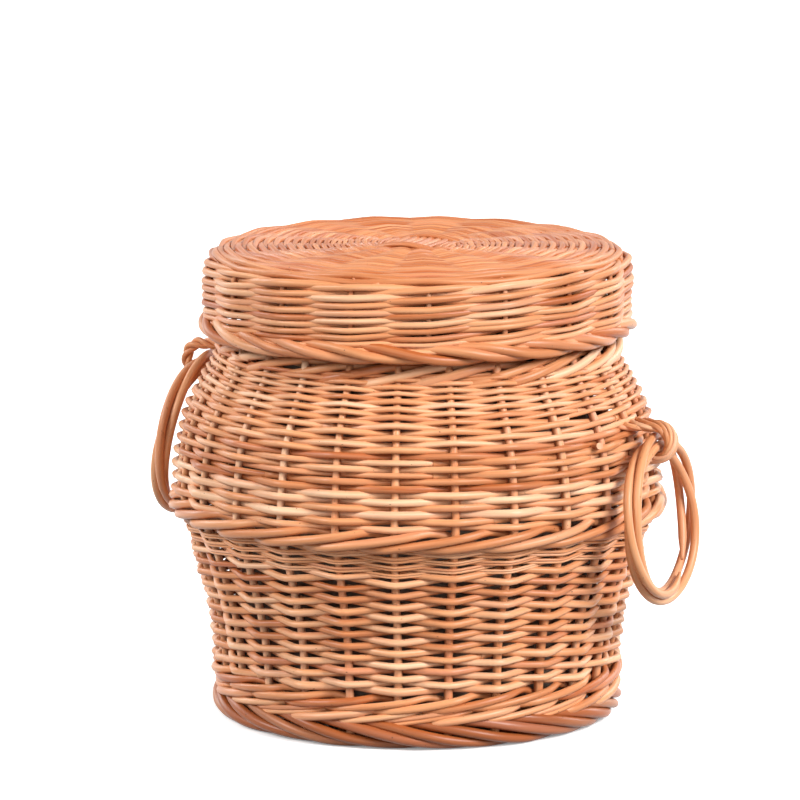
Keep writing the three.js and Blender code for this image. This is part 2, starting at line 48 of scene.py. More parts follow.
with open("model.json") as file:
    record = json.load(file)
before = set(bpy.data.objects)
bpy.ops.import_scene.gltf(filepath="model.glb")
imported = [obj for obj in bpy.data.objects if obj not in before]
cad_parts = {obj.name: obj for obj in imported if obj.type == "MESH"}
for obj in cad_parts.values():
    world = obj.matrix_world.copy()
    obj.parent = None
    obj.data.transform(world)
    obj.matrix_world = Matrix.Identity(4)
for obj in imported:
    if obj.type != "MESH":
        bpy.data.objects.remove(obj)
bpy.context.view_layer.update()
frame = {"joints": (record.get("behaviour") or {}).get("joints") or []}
JOINTS = {joint["name"]: joint for joint in frame["joints"]}

TURN = 2 * math.pi
SIDEWAYS = np.array([0.0, 1.0, 0.0])  # axis of both handles
SWAPPED = (1, 0, 2)  # turns a path along X into one along Y

# Paths of the rods
STATION_STEPS = 32  # points from one station to the next
SAMPLES = 8  # points from one upright to the next
PAIR_SAMPLES = 6  # the same in pairs
STAKE_POINTS, BORDER_POINTS, STICK_POINTS, RIB_POINTS = 60, 34, 24, 30
RING_POINTS, EYE_POINTS = 260, 150
RUN_ON = 3  # points past a weaver's last upright
KINK = ((1, 0.87), (3, 0.1), (5, 0.03))  # odd harmonics of a wave that bends only at its peaks
TONE_SPREAD = 0.24  # of the rods' tones, from 0, dark, to 1, pale
STRAND_TONES, PAIR_TONES = 0.06, 0.12  # the same in one weaver and of paired rows

# Shares of a rod's radius by which it clears what it passes
RANDING_SNUG, FRENCH_SNUG, WALE_SNUG, STRAND_SNUG = 0.95, 0.9, 0.96, 0.96

# Unevenness of the rods: spread of sizes, stray and sway of paths, the least and the most uprights
# that a rod passes, and its taper
STAKE_SPREAD, STAKE_SWAY, STAKE_TAPER = 0.04, 0.0003, (1.03, 0.93)
RANDING_SPREAD, RANDING_STRAY, RANDING_SWAY = 0.06, 0.00032, 0.0005
RANDING_RUN, RANDING_TAPER = (16, 30), (1.08, 0.88)
FRENCH_SPREAD, FRENCH_STRAY = 0.08, 0.0007
WALE_SPREAD, WALE_SWAY = 0.07, 0.0004
WALE_RUN, WALE_TAPER = (15, 30), (1.05, 0.91)
WALE_SWELL = 0.14  # by which a rod stands out between stakes
SPLIT_SIZE, SPLIT_GAP = 0.68, 1.15  # of two thin rods for one
BORDER_SPREAD, BORDER_STRAY, BORDER_TAPER = 0.05, 0.0004, (1.04, 0.88)
BORDER_START, BORDER_REACH = 0.06, 0.03  # spreads of a rod's start and span
PAIR_DEPTH, PAIR_SHIFT = 0.75, 0.7  # of twisted weavers, for their radius
CUT_PAST = 0.3  # of a step, by which cut ends pass the last upright

# Wall: its middle line from the foot up, as radius and height, and the heights of its weaves
STAKES = 25
STAKE_WAVE, WALL_MEAN = 20, 0.17  # radians of sway in a metre, and the wall's mean radius
WALL_LINE = (
    (0.1605, 0.008), (0.1615, 0.0216), (0.1685, 0.089), (0.186, 0.150),
    (0.1985, 0.188), (0.1905, 0.251), (0.166, 0.301), (0.1618, 0.319),
)
UPSETT_HEIGHTS = (0.0268, 0.0384)  # of its two rounds
UPSETT_RISE = 0.0116
UPSETT_SPLIT = 0.15  # share of the rods that are two thin ones
LOWER_HEIGHTS = (0.0450, 0.152, 0.1745)  # of its start, its thin pairs and its end
BELLY_HEIGHT, BELLY_RISE = 0.1805, 0.0138
UPPER_HEIGHTS = (0.1865, 0.272, 0.3135)  # of its start, its fine rows and its end
SLEW_LAP, FINE_LAP = 0.002, 0.003  # by which thin pairs and fine rows lap the rows below
STUB_HEIGHT = 0.2455  # of a cut end that stands out of the wall
STUB_ANGLE = math.radians(-19.4)
STUB_OUT = (-0.002, 0.0125)  # of its ends, from the middle line

# Borders: sections as radius and height, in the order in which each rod follows them
FOOT_SECTION = (
    (0.1600, 0.0235), (0.1650, 0.0215), (0.1684, 0.0160), (0.1680, 0.0095),
    (0.1630, 0.0050), (0.1550, 0.0048), (0.1500, 0.0090),
)
RIM_SECTION = (
    (0.1650, 0.3020), (0.1688, 0.3066), (0.1700, 0.3118), (0.1682, 0.3165),
    (0.1630, 0.3186), (0.1570, 0.3160), (0.1555, 0.3105),
)
LID_SECTION = (
    (0.1700, 0.3370), (0.1768, 0.3352), (0.1796, 0.3312), (0.1778, 0.3278),
    (0.1725, 0.3264), (0.1675, 0.3290), (0.1660, 0.3340),
)
FOOT_SPAN, RIM_SPAN, LID_SPAN = (math.radians(angle) for angle in (60, 46, 51))
RIM_INSET = 0.006  # by which the rim is pulled in on one side
RIM_INSET_SIDE = math.radians(235)
BORDER_FLOOR = 0.0002  # room under the lowest rods

# Base: its middle line inward, and the edges of its rows as radii
MIDDLE = 0.004  # radius at which the lines of the base and the lid end
BASE_LINE = ((0.1485, 0.0222), (0.10, 0.0224), (0.05, 0.0226), (MIDDLE, 0.0227))
BASE_EDGES = np.linspace(0.010, 0.148, 25)
STICKS = 6
SLATH_RIBS = 12  # ribs next to the crossed sticks, before they are opened out
BASE_OPENED = 7  # rows on these, before the ribs are one for each stake

# Liner
BAG_RADIUS = 0.146
BAG_INSET = 0.0012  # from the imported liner's faces to the cloth
BAG_CUFF = 0.016  # height of the straight cuff under the hem
BAG_FOLD = 0.0021  # depth of its folds
BAG_COLUMNS, BAG_LEVELS = 144, 110

# Lid: its middle line from the border up and in to the middle of the top, and its rows
LID_RIBS = 17
LID_LINE = (
    (0.1722, 0.324), (0.1732, 0.338), (0.1738, 0.352), (0.1740, 0.366),
    (0.1732, 0.3785), (0.1695, 0.3880), (0.1610, 0.3924), (0.1400, 0.3934),
    (0.1000, 0.3938), (0.0500, 0.3942), (MIDDLE, 0.3944),
)
RIB_FLAT, RIB_SIDE = 0.4, 0.85  # room for a rib, for its diameter
RIB_THIN = 0.6  # thickness of the top's ribs, for the side's
LID_SIDE_LOW, LID_SIDE_TOP = 0.3314, 0.3852
LID_TOP_GAP = 0.001  # from the side to the top's first row
LID_FLAT = 0.1685  # radius at which the top's rows begin
LID_MIDDLE = 0.060  # radius inside which its rows are pairs
LID_ROWS = 14.5  # between the two, each of two weavers
LID_FINE = 0.0045  # width of the row next to the pairs
LID_COARSE = 2 * (LID_FLAT - LID_MIDDLE) / LID_ROWS - LID_FINE  # width of the outermost row
SLATH_REACH = 0.030  # half a stick's length
SLATH_STEP = 0.0068  # from stick to stick
SLATH_LEVEL, SLATH_DROP = 0.3962, 0.0045  # height of the upper sticks, and the lower ones' drop
SLATH_RADIUS, SLATH_SPREAD = 0.0031, 0.06
SLATH_OPENED = 0.042  # radius where the ribs are opened out
SLATH_FILL, PAIR_FILL = 0.76, 0.8  # thickness of pairs for their rows
BAND_REACH = 0.028  # half a band's length
BAND_PLACES = (0.0225, 0.0277)  # of two bands, from the middle
BAND_LEVEL, BAND_DROP = 0.3950, 0.0024  # as for the sticks
BAND_BOW, BAND_SWELL = 0.0046, 0.002  # by which a band rises and leans out at its middle
BAND_RADIUS, BAND_TONE = 0.0019, 0.4

# Ring handles and their eyes
RING_RADIUS = 0.064
RING_LOOPS = 3
RING_TWISTS = 4  # of a strand about the others, in all the loops
RING_START = math.radians(150)  # place of the rod's ends, from the eye
RING_STOP = 0.25  # angle left open between the two ends
RING_GAP = 0.0006  # between neighbouring strands
RING_FAR = math.radians(95)  # side on which the strands spread
RING_SPREAD = 0.4
RING_TIP, RING_TAPER = 0.35, 0.5  # share of the thickness at the ends, and angle of its growth
EYE_SPREAD = 0.05  # of its rods' sizes
EYE_BEND = 0.0135  # radius of the loop's half circle
EYE_LIFT = 0.0006  # of the loop above the ring's axis
EYE_FOOT = 0.032  # length of its feet
LEFT_EYE = 1.15  # thickness of the left eye's rods for the right's

# Stage: the view, and lamps as turn from it, rise, power and spread, with angles in degrees
VIEW_TURN, VIEW_RISE = math.radians(23.5), math.radians(9.9)
VIEW_DISTANCE = 5.4
VIEW_WIDTH = 0.672  # of the picture, at the hamper
VIEW_HEIGHT, VIEW_SHIFT = 0.2636, 0.0143  # of the picture's middle, up and to the left
SENSOR = 36
LAMPS = {
    "left_lamp": (-72, 32, 2.2, 20),
    "right_lamp": (50, 32, 3.95, 26),
    "front_lamp": (-10, 14, 0.55, 30),
    "back_left_lamp": (-132, 24, 1.0, 30),
    "back_right_lamp": (132, 24, 1.0, 30),
}
FLOOR_HALF = 20.0
FLOOR_SHADE = (0.12, 0.12, 0.12, 1)  # for the light that the floor throws back
FLOOR_GLOW = (0.45, 0.45, 0.45, 1)
FLOOR_COVERED, FLOOR_EDGE = 0.145, 40.0  # radius without glow, and steepness of the glow's edge
SKY_LIGHT = 0.05

# Finishes of the willow: lean to the pale end of the tones, painted dimming, and painted shade in the
# grooves
FINISHES = {
    "willow": (0.0, 0.0, 0.85),
    "willow_plain": (0.0, 0.0, 0.0),
    "willow_stake": (0.14, 0.0, 0.6),
    # painted shade: the low bands, the foot and the lid's pieces are darker copies by a lean below 0,
    # and the foot is also dimmed
    "willow_low": (-0.16, 0.0, 0.85),
    "willow_foot": (-0.42, 0.36, 0.85),
    "willow_lid": (-0.28, 0.04, 0.0),
    "willow_side": (-0.08, 0.02, 0.85),
    "willow_roll": (-0.18, 0.04, 0.85),
}


class Weave(NamedTuple):
    """How a weaver goes round; pairs are values at its first row and at its last."""

    pitch: tuple  # from row to row
    thick: tuple  # shares of the weaver's diameter
    depth: tuple = (1.0, 1.0)  # shares of the full way in and out
    strands: int = 1  # rods side by side as one weaver
    vary: float = TONE_SPREAD


LOWER_WEAVE = Weave((0.0056, 0.0052), (1.06, 0.88))
SLEW_WEAVE = Weave((0.0041, 0.0039), (1.0, 1.0), strands=2, vary=0.14)
UPPER_WEAVE = Weave((0.0056, 0.0048), (1.02, 0.88), (0.88, 0.88))
FINE_WEAVE = Weave((0.0037, 0.0030), (0.72, 0.62), (0.88, 0.88), vary=0.2)
LID_TOP_WEAVE = Weave(
    (LID_COARSE / 2, LID_FINE / 2), (0.60, 0.92 * LID_FINE / LID_COARSE), (0.42, 0.62), vary=0.15
)
LID_SIDE_WEAVE = Weave((0.0026, 0.0036), (0.82, 1.02))


def srgb(red, green, blue):
    """Linear colour of an 8-bit screen colour."""
    shares = [value / 255 for value in (red, green, blue)]
    return tuple(s / 12.92 if s <= 0.04045 else ((s + 0.055) / 1.055) ** 2.4 for s in shares)


def length(name, default, description):
    """A property that holds a length in metres."""
    return bpy.props.FloatProperty(
        name=name, description=description, default=default, min=0.0002, precision=4, unit="LENGTH"
    )


def rod(name, default, use):
    """A property that holds the diameter of rods."""
    return length(name, default, f"Diameter of the {use}")


def colour(name, default, description):
    """A property that holds a colour."""
    return bpy.props.FloatVectorProperty(
        name=name, description=description, default=default, size=3, min=0, max=1, subtype="COLOR"
    )


class HamperSizes(bpy.types.PropertyGroup):
    """Thicknesses of the rods and of the cloth."""

    stake: rod("Stake", 0.0070, "upright rods of the wall")
    lower: rod("Lower weaver", 0.0062, "weavers below the belly")
    upper: rod("Upper weaver", 0.0064, "weavers above the belly")
    slew: rod("Thin weaver", 0.0026, "thin rods woven two together")
    upsett: rod("Upsett rod", 0.0068, "wale at the foot of the wall")
    belly: rod("Belly rod", 0.0078, "wale round the belly")
    foot: rod("Foot rod", 0.0086, "foot border's rods")
    rim: rod("Rim rod", 0.0078, "rim border's rods")
    lid_border: rod("Lid border rod", 0.0084, "lid border's rods")
    lid_wale: rod("Lid weaver", 0.0062, "weavers round the lid's side")
    rib: rod("Lid rib", 0.0050, "ribs that the lid is woven on")
    stick: rod("Stick", 0.0070, "sticks that cross under lid and base")
    ring: rod("Ring rod", 0.0074, "rod wound into a ring handle")
    eye: rod("Eye rod", 0.0044, "thin rods twisted into an eye")
    cloth: length("Cloth", 0.0012, "Thickness of the liner's cloth")


class HamperColours(bpy.types.PropertyGroup):
    """Colours of the willow, the cloth and the floor."""

    pale: colour("Pale willow", srgb(247, 204, 166), "Palest rods")
    buff: colour("Buff willow", srgb(223, 154, 105), "Most of the rods")
    russet: colour("Russet willow", srgb(178, 96, 48), "Darkest rods")
    blush: colour("Blush", srgb(220, 148, 122), "Pinker lengths of some rods")
    # colour of the bud scars, and also of the painted shade that the dimming darkens towards
    scar_and_shade: colour("Scar", srgb(112, 62, 34), "Bud scars and specks")
    # painted shade laid on the flanks and undersides of the rods, where shade falls between them
    groove_shade: colour("Groove", srgb(120, 48, 8), "Colour of the wood deep between the rods")
    cloth: colour("Cloth", srgb(138, 122, 108), "Liner")
    floor: colour("Floor", srgb(250, 250, 250), "Floor under the hamper")


def unit(vectors):
    """Vectors of the same directions and a length of one."""
    return vectors / np.linalg.norm(vectors, axis=1, keepdims=True)


def between(ends, share):
    """Values that change evenly from a first to a last."""
    return ends[0] + (ends[1] - ends[0]) * share


class Outline:
    """A middle line in the half plane of radius and height, against the distance along it.

    It is a Catmull-Rom curve: between two stations, a cubic whose slope at each station is half
    the step between that station's neighbours.
    """

    def __init__(self, stations):
        places = np.array(stations, float)
        padded = np.vstack([places[:1], places, places[-1:]])
        share = np.linspace(0, 1, STATION_STEPS, endpoint=False)[:, None]
        cubics = []
        for before, first, second, after in zip(padded, padded[1:], padded[2:], padded[3:]):
            leave = (second - before) / 2
            arrive = (after - first) / 2
            cubics.append(
                (2 * first - 2 * second + leave + arrive) * share**3
                + (3 * second - 3 * first - 2 * leave - arrive) * share**2
                + leave * share
                + first
            )
        self.line = np.vstack([*cubics, places[-1:]])
        steps = np.linalg.norm(np.diff(self.line, axis=0), axis=1)
        self.distance = np.concatenate([[0], np.cumsum(steps)])
        self.length = float(self.distance[-1])
        along = unit(np.gradient(self.line, axis=0))
        self.outward = np.stack([along[:, 1], -along[:, 0]], axis=1)

    def at(self, distance, offset=0.0):
        """Radius and height at distances along the line, moved outward by an offset."""
        radius, height = (np.interp(distance, self.distance, values) for values in self.line.T)
        out, up = (np.interp(distance, self.distance, values) for values in self.outward.T)
        return radius + offset * out, height + offset * up

    def reach(self, height):
        """Distance along a rising line at which it comes to a height."""
        return float(np.interp(height, self.line[:, 1], self.distance))


WALL = Outline(WALL_LINE)
LID = Outline(LID_LINE)
BASE = Outline(BASE_LINE)


def around(angle, radius, height):
    """Points at angles about the upright axis."""
    angle, radius, height = np.broadcast_arrays(angle, radius, height)
    return np.stack([radius * np.cos(angle), radius * np.sin(angle), height], axis=-1)


class Rods:
    """Round rods gathered into one mesh.

    A rod is a circle carried along a path: path + radius * (cos(turn) * over + sin(turn) * across),
    where across is square to the path and to a guide direction, and over is square to both.
    """

    def __init__(self, seed, sides=8):
        self.rng = np.random.default_rng(seed)
        self.sides = sides
        self.count = 0
        self.points, self.quads, self.fans, self.tones, self.grains = [], [], [], [], []

    def tone(self, spread=TONE_SPREAD):
        """A random tone."""
        return np.clip(self.rng.normal(0.5, spread), 0, 1)

    def lay(self, path, radius, guide=(0, 0, 1), tone=None):
        """Adds one rod with flat cut ends."""
        path = np.asarray(path, float)
        size, sides = len(path), self.sides
        radius = np.broadcast_to(radius, size)[:, None, None]
        along = unit(np.gradient(path, axis=0))
        across = unit(np.cross(along, np.broadcast_to(guide, path.shape)))
        over = np.cross(across, along)
        turn = np.linspace(0, TURN, sides, endpoint=False)[None, :, None]
        spokes = np.cos(turn) * over[:, None] + np.sin(turn) * across[:, None]
        loops = path[:, None] + radius * spokes
        run = np.concatenate([[0], np.cumsum(np.linalg.norm(np.diff(path, axis=0), axis=1))])
        grain = np.empty((size, sides, 3))
        grain[..., 0] = np.cos(turn[..., 0])
        grain[..., 1] = np.sin(turn[..., 0])
        grain[..., 2] = run[:, None] + self.rng.uniform(0, 50)
        grain = grain.reshape(-1, 3)
        tips = [grain[:1] * (0, 0, 1), grain[-1:] * (0, 0, 1)]

        side = np.arange(sides)
        after = (side + 1) % sides
        row = np.arange(size - 1)[:, None] * sides
        corners = [row + side, row + after, row + sides + after, row + sides + side]
        tip, last = size * sides, (size - 1) * sides
        opening = np.stack([np.full(sides, tip), after, side], axis=1)
        closing = np.stack([np.full(sides, tip + 1), last + side, last + after], axis=1)

        self.points.append(np.vstack([loops.reshape(-1, 3), path[:1], path[-1:]]))
        self.grains.append(np.vstack([grain, *tips]))
        self.tones.append(np.full(tip + 2, self.tone() if tone is None else tone))
        self.quads.append(np.stack(corners, axis=-1).reshape(-1, 4) + self.count)
        self.fans.append(np.vstack([opening, closing]) + self.count)
        self.count += tip + 2

    def runs(self, crossings, least, most, stride=2, first=1):
        """Breaks a weaver into rods of random length: pairs of crossings, all inside the wall."""
        ends = [first]
        while ends[-1] < crossings:
            ends.append(ends[-1] + stride * int(self.rng.integers(least // stride, most // stride)))
        return list(zip(ends, [*ends[1:-1], crossings]))

    def piece(self, name, body, slot, look, nodes=None):
        """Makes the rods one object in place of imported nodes, or of the one named like its slot."""
        quads = np.vstack(self.quads)
        fans = np.vstack(self.fans)
        mesh = bpy.data.meshes.new(name)
        mesh.from_pydata(np.vstack(self.points).tolist(), [], quads.tolist() + fans.tolist())
        smooth = np.concatenate([np.ones(len(quads), bool), np.zeros(len(fans), bool)])
        mesh.polygons.foreach_set("use_smooth", smooth)
        tone = mesh.attributes.new("tone", "FLOAT", "POINT")
        tone.data.foreach_set("value", np.concatenate(self.tones))
        grain = mesh.attributes.new("grain", "FLOAT_VECTOR", "POINT")
        grain.data.foreach_set("vector", np.vstack(self.grains).ravel())
        dress(mesh, body, nodes or [slot], finish(look))


def dress(mesh, body, nodes, material):
    """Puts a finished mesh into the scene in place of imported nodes."""
    mesh.update()
    mesh.materials.append(material)
    piece = bpy.data.objects.new(mesh.name, mesh)
    bpy.context.scene.collection.objects.link(piece)
    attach(piece, body)
    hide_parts(*nodes)
    return piece


def wobble(rng, size, waves=(2, 3, 5)):
    """A gentle wave round the basket: a few sines of the angle with random places."""
    shifts = rng.uniform(0, TURN, len(waves))
    return lambda angle: size * sum(np.sin(n * angle + shift) for n, shift in zip(waves, shifts))


def crossing_places(first, last):
    """Places along a weaver, counted in uprights, with ends that run on."""
    past = RUN_ON / SAMPLES
    return np.linspace(first - past, last + past, (last - first) * SAMPLES + 2 * RUN_ON + 1)


def in_and_out(place):
    """A wave of 1 at each even place and -1 at each odd one, almost straight between them."""
    return sum(part * np.cos(odd * math.pi * place) for odd, part in KINK)


def climbed(pitch, row, rows):
    """Way up after some of the rows, where the pitch changes evenly from row to row."""
    return pitch[0] * row + (pitch[1] - pitch[0]) * row**2 / (2 * rows)


def randing(rods, line, start, end, weave, diameter, upright, ribs=STAKES):
    """Weavers that pass outside one upright and inside the next while they climb.

    The offset from the line is a wave that runs almost straight from upright to upright and bends
    at each, and the place along the line moves on by one pitch in a round.
    """
    rng = rods.rng
    rows = 2 * (end - start) / sum(weave.pitch)
    crossings = int(rows * ribs)
    knots = np.arange(crossings + 3)
    bulge = rng.normal(1, RANDING_SPREAD, knots.size)
    stray = rng.normal(0, RANDING_STRAY, knots.size)
    sway = wobble(rng, RANDING_SWAY)
    for first, last in rods.runs(crossings, *RANDING_RUN):
        size = rng.normal(1, RANDING_SPREAD)
        tone = rods.tone(weave.vary)
        place = crossing_places(first, last)
        share = np.clip(place / crossings, 0, 1)
        angle = place * TURN / ribs
        taper = between(RANDING_TAPER, (place - first) / (last - first))
        radius = diameter / 2 * between(weave.thick, share) * size * taper
        wave = between(weave.depth, share) * (in_and_out(place) * np.interp(place, knots, bulge))
        offset = wave * (upright / 2 + radius * RANDING_SNUG)
        climb = climbed(weave.pitch, share * rows, rows)
        for strand in range(weave.strands):
            apart = (strand - (weave.strands - 1) / 2) * 2 * radius * STRAND_SNUG
            distance = start + climb + sway(angle) + apart + np.interp(place, knots, stray)
            out, up = line.at(distance, offset)
            shade = np.clip(tone + rng.normal(0, STRAND_TONES), 0, 1)
            rods.lay(around(angle, out, up), radius, tone=shade)


def french_randing(rods, line, start, end, weave, diameter, upright, ribs):
    """One rod from each upright, all climbing side by side, outside one and inside the next.

    The offset from the line is the same wave as in plain randing, and the place along the line
    moves on by one pitch from upright to upright.
    """
    rng = rods.rng
    crossings = 2 * int((end - start) / sum(weave.pitch)) + 2
    place = crossing_places(0, crossings)
    share = np.clip(place / crossings, 0, 1)
    knots = np.arange(-1, crossings + 2)
    climb = climbed(weave.pitch, place, crossings)
    thick = diameter / 2 * between(weave.thick, share)
    for index in range(ribs):
        angle = (index + place) * TURN / ribs
        radius = thick * rng.normal(1, FRENCH_SPREAD)
        bulge = rng.normal(1, FRENCH_SPREAD, knots.size)
        wave = -in_and_out(place) * np.interp(place, knots, bulge)
        stray = np.interp(place, knots, rng.normal(0, FRENCH_STRAY, knots.size))
        offset = wave * (upright / 2 + radius * FRENCH_SNUG)
        out, up = line.at(start + climb + stray, offset)
        rods.lay(around(angle, out, up), radius)


def wale(rods, middle, rise, diameter, upright, split=0.0):
    """One level round of a three-rod wale.

    A rod passes outside two stakes and inside the third. It climbs by one rise over its outside
    pass and drops back inside, so that the rods lie like the strands of a rope, and after three
    turns it is back at its start. A share of the rods is split into two thin ones.
    """
    rng = rods.rng
    shift = int(rng.integers(STAKES))
    sway = wobble(rng, WALE_SWAY)
    for first, last in rods.runs(3 * STAKES, *WALE_RUN, stride=3, first=0):
        place = np.linspace(first - CUT_PAST, last + CUT_PAST, (last - first) * SAMPLES)
        angle = (place + shift) * TURN / STAKES
        phase = np.mod(place, 3)
        near = np.minimum(phase, 3 - phase)
        outside = 1 + WALE_SWELL * np.sin(math.pi * np.clip(near - 1, 0, 0.5))
        side = np.where(near < 1, -np.cos(math.pi * near), outside)
        drop = 0.5 * np.cos(math.pi * np.mod(phase + 0.5, 3))
        lift = np.where(near > 0.5, (phase - 1.5) / 2, drop)
        taper = between(WALE_TAPER, (place - first) / (last - first))
        radius = diameter / 2 * rng.normal(1, WALE_SPREAD) * taper
        distance = middle + rise * lift + sway(angle)
        parts = (0.5, -0.5) if rng.random() < split else (0.0,)
        for part in parts:
            slim = radius * (SPLIT_SIZE if part else 1.0)
            offset = side * (upright / 2 + slim * WALE_SNUG)
            out, up = WALL.at(distance + part * radius * SPLIT_GAP, offset)
            rods.lay(around(angle, out, up), slim)


def laid_border(rods, section, span, diameter, inset=0.0):
    """Rods laid side by side round a border, one for each stake.

    Each rod runs over a span of angle while it follows the section's line from end to end, and the
    next rod starts one step further round. The border is pulled in by the inset on one side.
    """
    line = Outline(section)
    rng = rods.rng
    share = np.linspace(0, 1, BORDER_POINTS)
    for index in range(STAKES):
        begin = (index + rng.normal(0, BORDER_START)) * TURN / STAKES
        angle = begin + share * span * rng.normal(1, BORDER_REACH)
        size = diameter / 2 * rng.normal(1, BORDER_SPREAD)
        radius = size * between(BORDER_TAPER, share)
        level = rng.normal(0, BORDER_STRAY)
        offset = level + BORDER_STRAY * np.sin(share * 9 + rng.uniform(0, TURN))
        out, up = line.at(share * line.length, offset)
        pulled = out - inset * (0.5 + 0.5 * np.cos(angle - RIM_INSET_SIDE))
        rods.lay(around(angle, pulled, np.maximum(up, radius + BORDER_FLOOR)), radius)


def pairing(rods, line, ribs, edges, fill=0.74):
    """Level rows of two weavers that twist about each other between ribs.

    Offset from the disc and shift along it are the cosine and the sine of half a turn for each rib.
    Edges are the rows' borders, as radii. On an odd number of ribs one weaver makes a row in two
    turns, and on an even number two make it. Their ends lie underneath.
    """
    rng = rods.rng
    edges = line.length + MIDDLE - edges
    for low, high in zip(edges, edges[1:]):
        radius = fill * abs(high - low) / 2
        weavers = ((1, 2 * ribs + 1, 1),) if ribs % 2 else ((1, ribs + 1, 1), (0, ribs, -1))
        tone = rods.tone(PAIR_TONES)
        shift = 2 * int(rng.integers(ribs))
        for first, last, sign in weavers:
            place = np.linspace(first - CUT_PAST, last + CUT_PAST, (last - first) * PAIR_SAMPLES)
            offset = sign * radius * PAIR_DEPTH * np.cos(math.pi * place)
            aside = sign * radius * PAIR_SHIFT * np.sin(math.pi * place)
            out, up = line.at((low + high) / 2 + aside, offset)
            rods.lay(around((place + shift) * TURN / ribs, out, up), radius, tone=tone)


class Wire:
    """An output of a node, which Python's operators join to new Math nodes."""

    def __init__(self, recipe, socket):
        self.recipe = recipe
        self.socket = socket

    def maths(self, operation, first, second):
        return self.recipe.node("ShaderNodeMath", {"operation": operation}, {0: first, 1: second})

    def __add__(self, other):
        return self.maths("ADD", self, other)

    def __sub__(self, other):
        return self.maths("SUBTRACT", self, other)

    def __rsub__(self, other):
        return self.maths("SUBTRACT", other, self)

    def __mul__(self, other):
        return self.maths("MULTIPLY", self, other)

    def clamped(self):
        """The same value held between 0 and 1."""
        return self.recipe.node("ShaderNodeClamp", {}, {0: self})


class Recipe:
    """Nodes of one material or world."""

    def __init__(self, owner):
        owner.use_nodes = True
        self.tree = owner.node_tree
        self.tree.nodes.clear()

    def node(self, kind, settings=None, inputs=None, output=0):
        """Adds a node: its settings first, then the values or wires of its sockets."""
        made = self.tree.nodes.new(kind)
        for key, value in (settings or {}).items():
            if key == "stops":
                while len(made.color_ramp.elements) < len(value):
                    made.color_ramp.elements.new(0.5)
                for element, (place, tint) in zip(made.color_ramp.elements, value):
                    element.position = place
                    element.color = (*tint, 1)
            else:
                setattr(made, key, value)
        for key, value in (inputs or {}).items():
            if isinstance(value, Wire):
                self.tree.links.new(value.socket, made.inputs[key])
            else:
                made.inputs[key].default_value = value
        return Wire(self, made.outputs[output]) if made.outputs else made

    def vector(self, operation, first, second=None, output=0):
        """A Vector Math node over one or two vectors."""
        inputs = {0: first} if second is None else {0: first, 1: second}
        return self.node("ShaderNodeVectorMath", {"operation": operation}, inputs, output)

    def noise(self, place, stretch, detail):
        """Noise over a vector that is stretched by three factors."""
        scaled = self.vector("MULTIPLY", place, stretch)
        inputs = {"Vector": scaled, "Scale": 1.0, "Detail": detail}
        return self.node("ShaderNodeTexNoise", {}, inputs)

    def mix(self, share, first, second):
        """Blend of two colours."""
        return self.node("ShaderNodeMix", {"data_type": "RGBA"}, {0: share, 6: first, 7: second}, 2)

    def bump(self, strength, distance, height):
        """A normal that leans as a height would make it."""
        inputs = {"Strength": strength, "Distance": distance, "Height": height}
        return self.node("ShaderNodeBump", {}, inputs)

    def groove_shade_mask(self):
        """Painted shade: highest on flanks and undersides, where shade falls between rods, 0 on faces
        that turn out from the axis or up.
        """
        place = self.node("ShaderNodeTexCoord", output="Object")
        normal = self.node("ShaderNodeTexCoord", output="Normal")
        outward = self.vector("NORMALIZE", self.vector("MULTIPLY", place, (1, 1, 0)))
        side = self.vector("DOT_PRODUCT", normal, outward, "Value")
        above = self.vector("DOT_PRODUCT", normal, (0, 0, 1), "Value")
        facing = side.maths("MAXIMUM", side, above)
        return (0.82 - facing).clamped() * (facing + 1.2).clamped()

    def shown(self):
        """1 for rays that show the background: from the camera, mirrored or through glass."""
        kinds = ("Is Camera Ray", "Is Glossy Ray", "Is Transmission Ray")
        camera, glossy, through = (self.node("ShaderNodeLightPath", output=kind) for kind in kinds)
        return (camera + glossy + through).clamped()

    def principled(self, inputs):
        """Ends a material with a Principled shader."""
        shader = self.node("ShaderNodeBsdfPrincipled", {}, inputs)
        self.node("ShaderNodeOutputMaterial", {}, {"Surface": shader})


